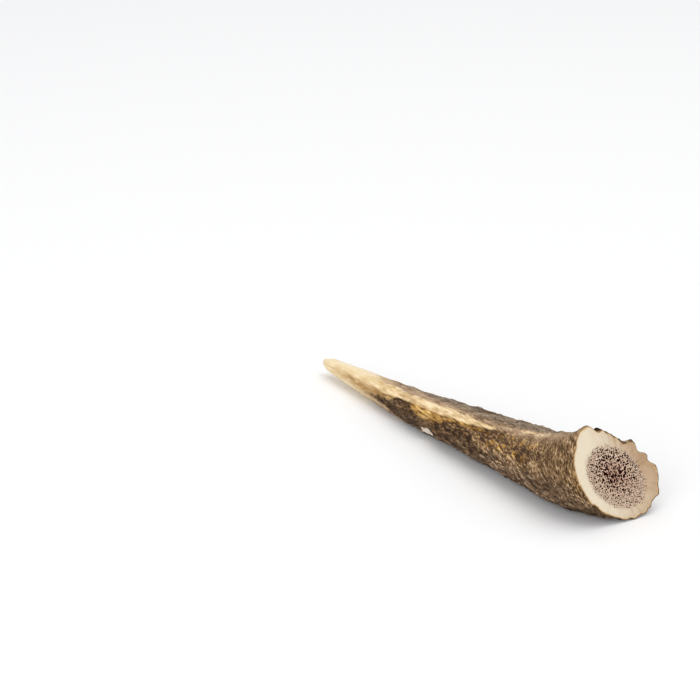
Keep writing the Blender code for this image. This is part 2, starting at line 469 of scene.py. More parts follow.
# %% [markdown]
# Rings and face share the points of the rim, so that the mesh is closed there. Merging two meshes by
# distance would do that too, but it could also close the smallest pores. So a corner of the sawn face
# either is a point of the first ring or gets a number of its own behind all the others. The faces along
# the rod are quads between two rings, and a fan of triangles closes the tip.

# %% Number the faces
def side_faces():
    """Quads between the rings, and the fan around the tip."""
    tip = len(places) * AROUND
    faces = []
    for first in range(0, tip, AROUND):
        following = first + AROUND
        for j in range(AROUND):
            beside = (j + 1) % AROUND
            if following < tip:
                faces.append((first + j, following + j, following + beside, first + beside))
            else:
                faces.append((first + j, tip, first + beside))
    return faces


def number_corners(first_new):
    """The number in the blank of every corner of the sawn face, and the corners that are new."""
    numbers = []
    new = []
    for corner, sources in zip(corners, came_from):
        on_rim = [source for source in sources if source < AROUND]
        numbers.append(on_rim[0] if on_rim else first_new + len(new))
        if not on_rim:
            new.append(corner)
    return numbers, new


print("faces along the rod:", len(side_faces()))

# %% [markdown]
# Now rings and face become the blank. Each point carries what the rules need to know about it: its distance
# from the cut, its section angle, its share of the radius and the height of its ring. The nodes read these
# and move the point to where it belongs on the antler.

# %% The blank rod
OFF_CORE = 2.0                # the core's measure for points that aren't on the face
ROD_RADIUS = 10.0             # any size would do, because the nodes place every point anew


def make_blank():
    distance = np.repeat(places, AROUND)
    height = np.repeat(heights, AROUND)
    angle = np.tile(angles, len(places))
    side_points = len(distance) + 1
    numbers, extra = number_corners(side_points)
    sides = side_faces()
    faces = sides + [tuple(numbers[corner] for corner in triangle) for triangle in triangles]
    across = np.array([p.x for p in extra])
    up = np.array([p.y for p in extra])
    extra_angle = np.degrees(np.arctan2(up, across)) % 360.0

    share = np.concatenate([np.ones(len(distance)), [0.0], np.hypot(across, up) / rim_radius(extra_angle)])
    distance = np.concatenate([distance, [antler.length], np.zeros(len(extra))])
    height = np.concatenate([height, ring_heights(antler, [antler.length]), np.full(len(extra), heights[0])])
    angle = np.concatenate([angle, [0.0], extra_angle])
    core = np.concatenate([np.full(side_points, OFF_CORE), core_share(across, up)])
    reach = ROD_RADIUS * share
    points = np.column_stack([-distance, reach * cosine(angle), reach * sine(angle)])

    mesh = bpy.data.meshes.new("antler")
    mesh.from_pydata((points * MM).tolist(), [], faces)
    for name, values in (("distance", distance), ("angle", angle), ("share", share), ("height", height),
                         ("core", core)):
        mesh.attributes.new(name, "FLOAT", "POINT").data.foreach_set("value", values.astype(np.float32))
    in_a_pore = [False] * len(sides) + in_pore
    mesh.attributes.new("in pore", "BOOLEAN", "FACE").data.foreach_set("value", in_a_pore)
    piece = bpy.data.objects.new("antler_bark_and_bone", mesh)
    bpy.context.scene.collection.objects.link(piece)
    return piece


piece = make_blank()
print("faces of the blank:", len(piece.data.polygons))

# %% [markdown]
# No finish covers the whole antler: the tip is worn to ivory, the crest is rubbed to cream, the top is grey
# and some patches are stained. Other patches are painted light and shade: the low near side and the
# underside are darkened as painted shade, the lower side of the tip partly so, and the top of the tip is
# lightened as a painted highlight. Each patch is a soft trail along the beam with a few stations, and
# between them its values pass over smoothly. So a patch is moved by changing a number in this table. A
# painted image would be the other way, but it would stretch at the tip and could not follow a change of
# size.

# %% Patches of the finish
# Each station: distance from the cut in mm, middle and half width in section degrees, strength
PATCHES = (
    # Painted shade: the low near side of the beam is darkened
    ("low side shade", ((-4, 208, 34, 0.7), (8, 202, 30, 1.0), (50, 198, 28, 1.0), (75, 190, 26, 0.5),
              (95, 190, 26, 0))),
    ("top", ((4, 72, 40, 0), (20, 74, 38, 1), (60, 80, 38, 1), (96, 72, 34, 1), (108, 68, 26, 1),
             (121, 66, 22, 0))),
    ("dark", ((26, 205, 24, 0), (45, 190, 30, 0.4), (60, 178, 34, 0.92), (78, 184, 36, 0.85),
              (95, 190, 38, 1.0), (104, 188, 28, 1.0), (110, 182, 12, 1.0), (117, 180, 6, 0.9),
              (125, 178, 4, 0))),
    ("dark", ((38, 62, 16, 0), (50, 62, 18, 0.42), (63, 76, 28, 0.6), (74, 64, 20, 0.42), (84, 62, 16, 0))),
    ("dark", ((90, 149, 10, 0), (95, 152, 14, 1.2), (102, 155, 14, 1.2), (108, 164, 9, 0))),
    ("dark", ((68, 145, 5, 0), (78, 146, 4, 0.45), (92, 146, 4, 0.5), (98, 147, 5, 0))),
    # Painted shade: the underside of the beam is darkened along its length
    ("dark", ((-5, 256, 40, 1.0), (0, 256, 40, 1.0), (25, 245, 32, 0.75), (60, 240, 30, 1.0),
              (95, 234, 26, 0.9), (112, 230, 14, 0))),
    ("spots", ((12, 145, 16, 0), (25, 147, 19, 0.9), (46, 148, 19, 0.9), (70, 152, 22, 0.8),
               (82, 166, 14, 0))),
    ("ochre", ((46, 139, 5, 0), (54, 141, 5.5, 0.75), (66, 143, 7, 0.7), (78, 152, 15, 1.15),
               (89, 152, 15, 1.15), (97, 142, 8, 0.45), (103, 143, 9, 0.6), (108, 150, 13, 1.15),
               (119, 152, 14, 0))),
    ("ochre", ((-2, 178, 44, 0.48), (0.5, 178, 42, 0.42), (1.8, 180, 36, 0.28), (4, 182, 30, 0))),
    ("pale", ((0, 124, 8, 0.5), (20, 112, 15, 0.9), (29, 110, 16, 1.0), (42, 120, 8, 0.85),
              (56, 124, 6, 0.7), (66, 118, 8, 0.8), (84, 115, 13, 0.9), (100, 108, 19, 1.2),
              (116, 98, 30, 1.3), (126, 90, 40, 0))),
    ("pale", ((104, 206, 8, 0), (110, 205, 10, 1.0), (124, 204, 12, 1.0), (134, 204, 14, 0))),
    ("cream", ((16, 112, 5, 0), (22, 112, 8, 0.65), (31, 112, 8, 0.7), (40, 118, 5, 0))),
    ("cream", ((42, 125, 4, 0), (50, 129, 5.5, 0.9), (62, 131, 8, 1.1), (80, 132, 11, 1.2),
               (98, 132, 13, 1.2), (112, 134, 20, 1.3), (122, 136, 40, 1.0), (128, 136, 40, 0))),
    # Painted highlight: the top of the tip is lightened
    ("lit tip top", ((114, 90, 36, 0), (130, 90, 42, 0.8), (150, 90, 60, 1.1))),
    ("tan", ((92, 0, 60, 0), (108, 0, 62, 0.75), (120, 0, 62, 0.9), (136, 0, 62, 0))),
    # Partly tan mottle and partly painted shade: the lower side of the tip is darkened
    ("tan", ((107, 158, 8, 0), (114, 161, 12, 0.8), (124, 167, 20, 1.1), (132, 166, 22, 0.8),
             (140, 164, 28, 0.45), (150, 160, 40, 0.15))),
    ("scrape", ((79, 202, 12, 0), (80.5, 203, 12, 1.4), (85.5, 208, 12, 1.4), (87.5, 209, 11, 0))),
)


def trail_value(s, stations, column):
    """A value that passes smoothly from station to station."""
    value = float(stations[0][column])
    for one, other in zip(stations, stations[1:]):
        if other[column] != one[column]:
            value = value + smooth_step(one[0], other[0], s, 0.0, other[column] - one[column])
    return value


def patch(s, angle, stations):
    middle, half_width, strength = (trail_value(s, stations, column) for column in (1, 2, 3))
    return strength * bump(angle, middle, half_width)


print("patches:", len(PATCHES), "of the finishes", sorted({name for name, stations in PATCHES}))

# %% [markdown]
# Two more things mark the bark. Round pearls keep their dark skin at the burr or are worn to gold on the
# front, and the tip is worn down to ivory along a ragged line. Each point stores how strongly each finish
# shows there. A pearl of the burr shows as strongly as it is wide, because a wide one also stands higher.

# %% Pearls and the worn tip
# Pearls of the burr that kept their dark bark behind the rim: distance, section angle and radius in mm
BURR_PEARLS = ((0.8, 110, 0.8), (1.0, 104, 0.5), (1.2, 97, 1.1), (1.0, 87, 0.7), (1.1, 78, 0.6),
               (1.2, 62, 0.8), (1.2, 41, 0.8), (1.0, 30, 0.5), (1.1, -4, 0.7), (1.0, -33, 0.6),
               (1.2, -52, 0.8), (1.0, -75, 0.6))
# Pearls that are worn to gold: distance, section angle and radius in mm
GOLD_PEARLS = ((26, 161, 1.5), (30.5, 156, 1.3), (24, 140, 1.0), (29.5, 136, 1.1), (21, 134, 0.9),
               (37.5, 151, 1.0), (39.5, 158, 1.2), (43.5, 154, 1.1), (46, 161, 0.9), (41, 136, 0.9),
               (48.5, 141, 1.2), (53, 137, 1.0), (35.5, 133, 0.8), (57, 142, 0.9))
IVORY_FROM = 119.0            # the bark ends here, on average
IVORY_TONGUE = 7.0            # on the front the ivory reaches this much further down
IVORY_TONGUE_AT = 140.0
IVORY_TONGUE_WIDTH = 26.0
IVORY_NOTCH = 6.0             # and below it a dark notch runs this much further up
IVORY_NOTCH_AT = 190.0
IVORY_NOTCH_WIDTH = 22.0
IVORY_EDGE = 10.0             # half the length over which it changes


def finish_marks(s, angle):
    """How strongly each finish shows at each point, from 0 to about 1."""
    marks = {}
    for name, stations in PATCHES:
        marks[name] = np.maximum(marks.get(name, 0.0), patch(s, angle, stations))
    for name, pearls in (("ochre", GOLD_PEARLS), ("burr pearl", BURR_PEARLS)):
        for at, turn, radius in pearls:
            far = (s - at) / radius
            width = math.degrees(radius / mean_radius(antler, at))
            strength = radius if name == "burr pearl" else 1.0
            pearl = strength * exp(-(far * far)) * bump(angle, turn, width)
            marks[name] = np.maximum(marks.get(name, 0.0), pearl)
    ivory_from = IVORY_FROM - IVORY_TONGUE * bump(angle, IVORY_TONGUE_AT, IVORY_TONGUE_WIDTH)
    ivory_from = ivory_from + IVORY_NOTCH * bump(angle, IVORY_NOTCH_AT, IVORY_NOTCH_WIDTH)
    marks["ivory"] = 0.5 + 0.5 * (s - ivory_from) / IVORY_EDGE
    return marks


def mark_finishes(mesh):
    read = {name: np.zeros(len(mesh.vertices), np.float32) for name in ("distance", "angle")}
    for name, values in read.items():
        mesh.attributes[name].data.foreach_get("value", values)
    for name, values in finish_marks(read["distance"], read["angle"]).items():
        mesh.attributes.new(name, "FLOAT", "POINT").data.foreach_set("value", values.astype(np.float32))
        print(name, "covers", round(100.0 * float((values > 0.5).mean())), "% of the points")


mark_finishes(piece.data)

# %% [markdown]
# Colours are sRGB hex values, as a colour picker on a photograph gives them. Shaders want linear light, so
# one function turns them.

# %% Colours
def colour(code):
    channels = [int(code[i:i + 2], 16) / 255.0 for i in (1, 3, 5)]
    linear = [c / 12.92 if c <= 0.04045 else ((c + 0.055) / 1.055) ** 2.4 for c in channels]
    return (*linear, 1.0)


# Dead skin, weathered and handled: dirt and painted shade darken its furrows, and its ridges are light
# from wear and painted light, and a little glossy
bark = bpy.data.materials.new("weathered antler bark, rubbed smooth on its ridges")
# Dense bone, sawn and lightly sanded: matt and cream, with faint streaks that run out to the rim
sawn = bpy.data.materials.new("sawn antler bone")
# Marrow that dried in the open cells: matt and dark red-brown, and its floors go nearly black as painted
# shade, so the pores read as deep
marrow = bpy.data.materials.new("dried marrow in the pores, painted shade on their floors")
print("a pale ivory in linear light:", [round(c, 3) for c in colour("#F5E2C0")[:3]])

# %% [markdown]
# The bark of an antler is the print of the blood vessels that once covered it. It has several layers:
# furrows that run lengthwise and turn down the sides near the burr, pearls on the lower beam, fine
# wrinkles, and steep strokes beside the cut. Sculpting them by hand would take days and could not be changed
# afterwards, so noise makes them, in coordinates that are stretched along the beam. Depths, heights,
# pitches and lengths are in millimetres.

# %% Sizes of the bark
BARK = dict(
    furrow_depth=0.3,
    groove_depth=0.25,        # narrow grooves that wander lengthwise
    groove_width=0.09,        # against the noise that they follow
    wrinkle_depth=0.32,
    burr_depth=0.42,          # steep strokes beside the cut
    burr_run=11.0,
    burr_share=0.75,
    lump_height=0.4,          # slow swellings of the whole beam
    knot_height=0.4,          # and knots a few millimetres apart
    drop=0.9,                 # slope at which the strokes turn down the sides at the burr
    drop_run=26.0,
    pearl_pitch=2.1,
    pearl_radius=0.6,         # against the pitch
    pearl_stretch=1.35,
    pearl_height=0.5,
    pearl_full=40.0,          # pearls are full size to here from the cut
    pearl_reach=92.0,         # and gone by here
    rubbed=0.55,              # share of the bark that is worn off along the crest
    rubbed_width=17.0,
    bed=0.35,                 # the skin between pearls and ridges lies this much lower
    scrape_depth=0.25,
    burr_pearl_height=1.4,    # against the pearl's radius
    rim_nicks=0.35,           # small nicks along the far side of the rim
    low_side_flat=0.9,        # the low front side is a little flatter than the solid's section
    tip_top_worn=0.6,         # and the top of the tip is worn down
    smooth_tip=14.0,          # this much of the tip is quite smooth
    smooth_fade=34.0,         # and the bark comes in over this length behind it
    pore_depth=1.1,
    pore_taper=0.72,
)
SEED_STEP = 20.0              # each seed reads the noise this much further along
# Noises of the bark: which coordinates, how much longer than wide, pitch across in mm, detail, seed
NOISES = dict(
    furrows=("grain", 4.5, 2.3, 1.0, 0),
    wander=("grain", 4.5, 3.4, 1.5, 1),
    wrinkles=("grain", 3.0, 0.95, 1.5, 2),
    strokes=("burr grain", 1.0, 0.95, 1.5, 4),
    lumps=("place", 1.0, 15.0, 2.0, 5),
    knots=("place", 1.4, 4.5, 0.0, 6),
    nicks=("place", 1.0, 1.2, 1.0, 7),
)
print("sizes that can be turned on the growth modifier:", len(SIZES) + len(BARK))

# %% [markdown]
# The growth tree is a Geometry Nodes tree. Every size above becomes one of its inputs, so a wider or rougher
# antler needs a new number and no new mesh. It first reads what the blank's points know, then works out the
# plain shape: the radius of the section, and where a point at that radius lies.

# %% The growth tree
tree = bpy.data.node_groups.new("antler growth", "GeometryNodeTree")
tree.interface.new_socket("Geometry", in_out="OUTPUT", socket_type="NodeSocketGeometry")
tree.interface.new_socket("Geometry", in_out="INPUT", socket_type="NodeSocketGeometry")
sockets = {}
for name in (*SIZES, *BARK):
    sockets[name] = tree.interface.new_socket(
        name.replace("_", " "), in_out="INPUT", socket_type="NodeSocketFloat")
group_in = add(tree, "NodeGroupInput")
k = SimpleNamespace(**{name: Term(tree, group_in.outputs[name.replace("_", " ")]) for name in sockets})

known = {}
for name in ("distance", "angle", "share", "height", "scrape", "burr pearl"):
    node = add(tree, "GeometryNodeInputNamedAttribute", {"data_type": "FLOAT"}, {"Name": name})
    known[name] = Term(tree, node.outputs[0])
s, angle, share = known["distance"], known["angle"], known["share"]
tilt = cut_tilt(k, s)
plain = mean_radius(k, s) * section_form(k, s, angle) * end_rounding(k, s)


def placed(radius):
    """Where a point of the ring lies, in millimetres from the middle of the cut."""
    across, up = radius * cosine(angle), radius * sine(angle)
    return -s - up * sine(tilt), side_shift(k, s) + across, known["height"] + up * cosine(tilt)


print("nodes of the plain shape:", len(tree.nodes))

# %% [markdown]
# The bark's strokes follow the beam, turn down its sides near the burr and stand steep beside the cut. So
# most noises read grain coordinates, in which the height is bent by the same rule, and the strokes at the
# cut read their own. Every noise is centred, so it raises and lowers the skin by the same amount.

# %% Grain of the bark
BURR_LEAN = 0.45              # strokes at the cut lean back by this slope
BURR_STRETCH = 3.4            # and are this much longer than wide

x, y, z = placed(plain)
fall = z + k.drop * k.drop_run * exp(-(s / k.drop_run))
coordinates = {
    "place": (x, y, z),
    "grain": (x, y, fall),
    "burr grain": (x + z * BURR_LEAN, y / BURR_STRETCH, z / BURR_STRETCH),
}
noise = {}
for name, (where, stretch, pitch, detail, seed) in NOISES.items():
    along, across, up = coordinates[where]
    node = add(tree, "ShaderNodeTexNoise", None, {
        "Vector": (along / stretch + SEED_STEP * seed, across, up), "Scale": 1.0 / pitch, "Detail": detail})
    noise[name] = (Term(tree, node.outputs[0]) - 0.5) * 2.0
print("noises of the relief:", list(noise))

# %% [markdown]
# The layers of the bark are added up from there. Each has its own reach: pearls on the lower beam, strokes
# beside the cut, and everything flatter where the crest is rubbed and towards the tip. A Voronoi texture
# gives the pearls their round cells, and the narrow grooves follow the line where a noise is zero.

# %% Layers of the bark
CREST_TURN = 8.0              # the rubbed crest turns to the front by this, between these distances
CREST_TURN_FROM, CREST_TURN_FULL = 20.0, 110.0
PEARL_RANDOMNESS = 0.9
PEARLS_RUBBED = 1.4           # rubbing wears pearls more than furrows
PEARLS_AT_CUT = 0.5           # share of them that is left there
WRINKLES_AT_CUT = 0.3

low_beam = 1.0 - smooth_step(k.pearl_full, k.pearl_reach, s)
rough = 1.0 - smooth_step(k.length - k.smooth_tip - k.smooth_fade, k.length - k.smooth_tip, s)
crest_turn = CREST_TURN * smooth_step(CREST_TURN_FROM, CREST_TURN_FULL, s)
rubbed = k.rubbed * bump(angle, k.crest_at - crest_turn, k.rubbed_width)
beside_cut = exp(-(s / k.burr_run) * (s / k.burr_run))
wander = noise["wander"] / k.groove_width
grooves = exp(-(wander * wander))
cells = add(tree, "ShaderNodeTexVoronoi", {"feature": "F1"},
            {"Vector": (x / k.pearl_stretch, y, z), "Scale": 1.0 / k.pearl_pitch,
             "Randomness": PEARL_RANDOMNESS})
far = Term(tree, cells.outputs[0]) / k.pearl_radius
pearls = larger(1.0 - far * far, 0.0) * low_beam

body = k.furrow_depth * noise["furrows"] - k.groove_depth * grooves + k.wrinkle_depth * noise["wrinkles"]
body = body * (1.0 - rubbed)
body = body + k.pearl_height * pearls * (1.0 - rubbed * PEARLS_RUBBED) * (1.0 - beside_cut * PEARLS_AT_CUT)
strokes = k.burr_depth * noise["strokes"] + WRINKLES_AT_CUT * k.wrinkle_depth * noise["wrinkles"]
body = blend(body, strokes, beside_cut * k.burr_share)
relief = rough * (body - k.bed * low_beam + k.lump_height * noise["lumps"] + k.knot_height * noise["knots"])
print("nodes with the bark:", len(tree.nodes))

# %% [markdown]
# The burr is a crown of knobs around the base, and the saw went through it, so the rim of the cut is
# scalloped and nicked, and dark pearls stand up behind it. The table gives the scallops one by one, because
# they make the outline that the eye goes to.

# %% Knobs of the burr
# Knobs and notches on the rim of the cut: section angle, height in mm and half width in degrees
RIM_KNOBS = ((218, 1.05, 40), (152, 0.6, 22), (128, 0.7, 8), (113, 1.1, 5.5), (106, -0.9, 4.5), (98, 0.4, 3),
             (89, 0.5, 4), (76, 0.6, 5), (61, -0.4, 6), (44, 1.0, 7), (27, -0.65, 5), (15, 0.95, 5),
             (5, -0.2, 3), (-3, 1.0, 6), (-12, 0.2, 4), (-32, 1.05, 6), (-45, -0.35, 3), (-49, 0.4, 3),
             (-53, -0.3, 3), (-57, 0.3, 4), (-64, -0.3, 4), (-74, 0.3, 4), (-82, -0.3, 3), (-90, 0.25, 4))
RIM_KNOB_RUN = 4.0            # they fade over this length behind the cut
SMOOTH_RIM_AT = 190.0         # the near side of the rim has no nicks
SMOOTH_RIM_WIDTH = 50.0

knobs = k.rim_nicks * noise["nicks"] * (1.0 - bump(angle, SMOOTH_RIM_AT, SMOOTH_RIM_WIDTH))
for at, rise, width in RIM_KNOBS:
    knobs = knobs + rise * bump(angle, at, width)
knobs = knobs * exp(-(s / RIM_KNOB_RUN) * (s / RIM_KNOB_RUN)) + k.burr_pearl_height * known["burr pearl"]
print("knobs and notches of the rim:", len(RIM_KNOBS))

# %% [markdown]
# Some places are worn: the low front side, the top of the tip, and one scrape that took the bark off. And
# where the antler lies, nothing may go below the surface, so those lumps are levelled, along the slope of
# their own ring so that the rings stay flat.

# %% Worn places
LOW_SIDE_FROM, LOW_SIDE_FULL = 12.0, 30.0
LOW_SIDE_LATE, LOW_SIDE_END = 70.0, 92.0
LOW_SIDE_AT = 226.0
LOW_SIDE_WIDTH = 20.0
TIP_TOP_FROM, TIP_TOP_FULL = 22.0, 8.0      # measured back from the tip
TIP_TOP_AT = 80.0
TIP_TOP_WIDTH = 50.0
SIDE_FROM = 0.8               # share of the radius where the bark's relief begins to lift the face
UNDERSIDE_REACH = 0.15        # the lumps it lies on are worn level this far below the plain section

relief = relief - k.scrape_depth * known["scrape"]
low_side = smooth_step(LOW_SIDE_FROM, LOW_SIDE_FULL, s) * (1.0 - smooth_step(LOW_SIDE_LATE, LOW_SIDE_END, s))
relief = relief - k.low_side_flat * low_side * bump(angle, LOW_SIDE_AT, LOW_SIDE_WIDTH)
tip_top = smooth_step(k.length - TIP_TOP_FROM, k.length - TIP_TOP_FULL, s)
relief = relief - k.tip_top_worn * tip_top * bump(angle, TIP_TOP_AT, TIP_TOP_WIDTH)
x, y, z = placed(plain * share + (relief + knobs) * smooth_step(SIDE_FROM, 1.0, share))
rise = larger(-UNDERSIDE_REACH - z, 0.0)
x, z = x - rise * sine(tilt) / cosine(tilt), z + rise
print("nodes of the whole shape:", len(tree.nodes))

# %% [markdown]
# The middle of the cut is found from the frame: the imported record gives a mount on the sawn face, at a
# known angle and distance from the middle, so the mesh goes exactly where the solid is.

# %% Place the points
MOUNT_ANGLE = 128.0
MOUNT_RADIUS = 15.3


def middle_of_cut():
    """Where the rules' zero point lies in the frame, in metres."""
    mount = Vector(frame["record"]["mounts"][0]["pos_m"])
    across, up = MOUNT_RADIUS * cosine(MOUNT_ANGLE), MOUNT_RADIUS * sine(MOUNT_ANGLE)
    height = heights[0] + up * cosine(antler.cut_tilt)
    return mount - Vector((-up * sine(antler.cut_tilt), across, height)) * MM


origin = middle_of_cut()
print("zero point of the rules in mm:", in_mm(origin))
position = (x * MM + origin.x, y * MM + origin.y, z * MM + origin.z)
shape = add(tree, "GeometryNodeSetPosition", None,
            {"Geometry": group_in.outputs["Geometry"], "Position": position}).outputs[0]

# %% [markdown]
# The colours have to follow the bark: dirt lies in grooves and pearls are rubbed light. So the tree stores
# the relief, the pearls and the grain coordinates on the mesh as attributes, and the materials read them.
# Object coordinates alone could not know how the strokes turn at the burr.

# %% Keep the places for the shaders
marks = {"relief": relief, "pearl": pearls, "groove": grooves * rough, "grain": coordinates["grain"],
         "burr grain": coordinates["burr grain"]}
for name, value in marks.items():
    kind = "FLOAT_VECTOR" if isinstance(value, tuple) else "FLOAT"
    shape = add(tree, "GeometryNodeStoreNamedAttribute", {"data_type": kind, "domain": "POINT"},
                {"Geometry": shape, "Name": name, "Value": value}).outputs[0]
print("stored for the shaders:", list(marks))

# %% [markdown]
# The pores are sunk by extruding their faces into the bone and narrowing the floors, so their walls slope
# like those of a cell. Cutting hundreds of holes with booleans would be slow and could leave torn edges.
# The tree ends by making everything real and giving each face its material.

# %% Sink the pores and finish the tree
SAME = 0.0001                 # two distances that differ by less are the same

pore_faces = add(tree, "GeometryNodeInputNamedAttribute", {"data_type": "BOOLEAN"}, {"Name": "in pore"})
pits = add(tree, "GeometryNodeExtrudeMesh", {"mode": "FACES"},
           {"Mesh": shape, "Selection": pore_faces.outputs[0], "Offset Scale": k.pore_depth * -MM,
            "Individual": False})
floors, walls = pits.outputs["Top"], pits.outputs["Side"]
shape = add(tree, "GeometryNodeScaleElements", {"domain": "FACE"},
            {"Geometry": pits.outputs["Mesh"], "Selection": floors, "Scale": k.pore_taper}).outputs[0]
shape = add(tree, "GeometryNodeStoreNamedAttribute", {"data_type": "FLOAT", "domain": "POINT"},
            {"Geometry": shape, "Name": "sunk", "Value": 1.0, "Selection": floors}).outputs[0]
shape = add(tree, "GeometryNodeRealizeInstances", None, {0: shape}).outputs[0]
on_face = step("COMPARE", None, s, 0.0, SAME)
in_hole = add(tree, "FunctionNodeBooleanMath", {"operation": "OR"}, {0: floors, 1: walls}).outputs[0]
shape = add(tree, "GeometryNodeSetMaterial", None, {"Geometry": shape, "Material": bark}).outputs[0]
for chosen, material in ((on_face, sawn), (in_hole, marrow)):
    shape = add(tree, "GeometryNodeSetMaterial", None,
                {"Geometry": shape, "Selection": chosen, "Material": material}).outputs[0]
add(tree, "NodeGroupOutput", None, {"Geometry": shape})
print("nodes of the whole tree:", len(tree.nodes))

# %% [markdown]
# The modifier grows the antler from the blank. Its result is then kept as a plain mesh, which any program
# can read, and the modifier goes. Points that a knob lifted past the solid's box come back to it. Sharp
# edges stay crisp, which are the rim of the cut and the mouths of the pores, and the bark is shaded smooth.

# %% Grow the antler
CRISP_ANGLE = 48.0

growth = piece.modifiers.new("growth", "NODES")
growth.node_group = tree
for name, value in {**SIZES, **BARK}.items():
    growth[sockets[name].identifier] = float(value)
evaluated = piece.evaluated_get(bpy.context.evaluated_depsgraph_get())
grown = bpy.data.meshes.new_from_object(evaluated)
piece.modifiers.remove(growth)
piece.data = grown
grown.name = "antler_bark_and_bone"
print("materials:", [m.name for m in grown.materials])

low, high = np.array(cad_low, np.float32), np.array(cad_high, np.float32)
co = np.zeros(len(grown.vertices) * 3, np.float32)
grown.vertices.foreach_get("co", co)
co = co.reshape(-1, 3)
print("grown box in mm:", in_mm(co.min(0)), in_mm(co.max(0)))
print("points outside the solid's box:", int(((co < low) | (co > high)).any(axis=1).sum()))
grown.vertices.foreach_set("co", np.clip(co, low, high).ravel())
grown.update()
grown.shade_smooth()
grown.set_sharp_from_angle(angle=math.radians(CRISP_ANGLE))
grown.calc_loop_triangles()
print("triangles:", len(grown.loop_triangles))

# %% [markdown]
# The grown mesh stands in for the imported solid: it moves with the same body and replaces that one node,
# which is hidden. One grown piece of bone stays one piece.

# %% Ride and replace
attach(piece, "root")
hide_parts("antler")

# %% [markdown]
# The bark is dead, dry antler skin, weathered and handled. Deep parts are darker from dirt and painted
# shade, ridges are lighter from rubbed bone and painted light, and the worn tip is polished ivory with a
# painted highlight on its top. One colour for each patch would look painted on, so every finish has three
# tones, and the steps that follow say what picks between them.

# %% Tones of the bark
# Dark, middle and light tone of each finish, the later ones over the earlier
TONES = {
    "brown": ("#48321C", "#8C6D49", "#D4B28A"),
    # Painted shade on the low near side of the beam
    "low side shade": ("#3A2817", "#7A5F45", "#C4A888"),
    "top": ("#5A4C3D", "#8A7763", "#C4B29A"),
    "spots": ("#432E1B", "#7F6142", "#C8A068"),
    # The dark finish is real dark stains, and painted shade on the underside
    "dark": ("#281808", "#4A3218", "#7C6042"),
    "ochre": ("#62421A", "#B28746", "#E2BC76"),
    "pale": ("#866A4F", "#B5987A", "#E2CAAA"),
    "cream": ("#C0A074", "#E4C899", "#FBE6C2"),
    "ivory": ("#CFAF7A", "#E2C999", "#F5E2C0"),
    # Painted highlight on the top of the tip
    "lit tip top": ("#E6CE9E", "#F5E2BC", "#FCF0DA"),
    # Tan mottle, and on the lower side of the tip partly painted shade
    "tan": ("#805C2E", "#AC8652", "#D4B686"),
    "scrape": ("#C9B6A0", "#E3D6C5", "#F0E7DA"),
    "burr pearl": ("#1C1309", "#3C2E1E", "#7A6448"),
}
print("finishes of the bark:", len(TONES))

# %% [markdown]
# Noise picks the tone. Real bark has flecks about half a millimetre wide, like its fibres, so that is the
# finest noise, and all run with the grain that the mesh has stored. Painting them by hand would show seams
# from other sides; noise on the mesh's own places runs right round.

# %% Flecks of the bark
# Each noise: coordinates, how much longer than wide, pitch across in mm, detail
FLECKS = dict(
    fleck=("grain", 3.2, 0.5, 4.0),
    streak=("grain", 9.0, 0.7, 2.0),
    stroke=("burr grain", 1.0, 0.4, 3.5),
    crack=("burr grain", 1.0, 0.75, 1.5),
    split=("grain", 3.0, 0.9, 1.5),
    mottle=("grain", 2.5, 3.5, 2.0),
    ragged=("grain", 5.0, 1.3, 2.0),
)
IVORY_RAGGED = 0.4            # how far flecks of bark reach over the line where the ivory begins


def read_bark(tree):
    """What the mesh stored at each point, and the noises that run with its grain."""
    seen = {}
    for name in ("distance", "relief", "pearl", "groove", *TONES):
        if name != "brown":
            node = add(tree, "ShaderNodeAttribute", {"attribute_name": name})
            seen[name] = Term(tree, node.outputs["Fac"])
    noise = {}
    for name, (where, stretch, pitch, detail) in FLECKS.items():
        place = add(tree, "ShaderNodeAttribute", {"attribute_name": where}).outputs["Vector"]
        place = add(tree, "ShaderNodeVectorMath", {"operation": "MULTIPLY"},
                    {0: place, 1: (1.0 / stretch, 1.0, 1.0)}).outputs[0]
        node = add(tree, "ShaderNodeTexNoise", None,
                   {"Vector": place, "Scale": 1.0 / pitch, "Detail": detail})
        noise[name] = (Term(tree, node.outputs[0]) - 0.5) * 2.0
    seen["ivory"] = smooth_step(0.0, 1.0, seen["ivory"] + noise["ragged"] * IVORY_RAGGED)
    return seen, noise


print("noises of the bark's colour:", list(FLECKS))

# %% [markdown]
# Every point gets a tone between dark at 0 and light at 1. Flecks and ridges lift it, and grooves and cracks
# sink it. On ridges, raised relief and the pearls of the spots the lift is partly wear and partly painted
# light, and in grooves and low relief the darkening is partly dirt and partly painted shade. Where the bark
# is rubbed, long streaks take the place of short flecks and the contrast is calm.
# Fine dark cracks run through the lower bark, along the line where a noise is zero. The same flecks and
# cracks also give the finest relief, too fine for the mesh.

# %% Tone of every point
SMOOTH = dict(top=0.6, pale=0.5, cream=1.0, ochre=0.7, ivory=1.0)      # streaks instead of flecks
CALM = dict(top=0.8, pale=1.0, cream=0.7)                              # less contrast
CRACK_SHARPNESS = 150.0
CRACK_MEAN = 0.2              # what the cracks would darken the whole by
CRACK_RUN = 32.0              # they fade over this length from the cut
STROKE_SHARE = 0.8            # of the flecks beside the cut
# relief, calm relief, groove, spot pearl and spot bed: partly wear and dirt, partly painted light on raised
# bark and painted shade in its hollows
TONE = SimpleNamespace(       # what each thing adds to the tone or takes from it
    middle=0.52, fleck=1.6, calm_fleck=1.0, groove=0.3, crack=0.4, relief=0.2, calm_relief=0.12,
    mottle=0.2, mottle_lost_at_cut=0.6, spot_pearl=0.15, spot_bed=0.08, spot_mottle=0.45)
FLECK_HILLS, CRACK_HILLS = 0.16, 0.2        # height in mm
IVORY_CALM, IVORY_FLAT = 0.5, 0.9           # how much of the flecks and of that height the ivory lacks


def summed(seen, shares):
    """How strongly some finishes show together, each by its share."""
    return smaller(sum(seen[name] * share for name, share in shares.items()), 1.0)


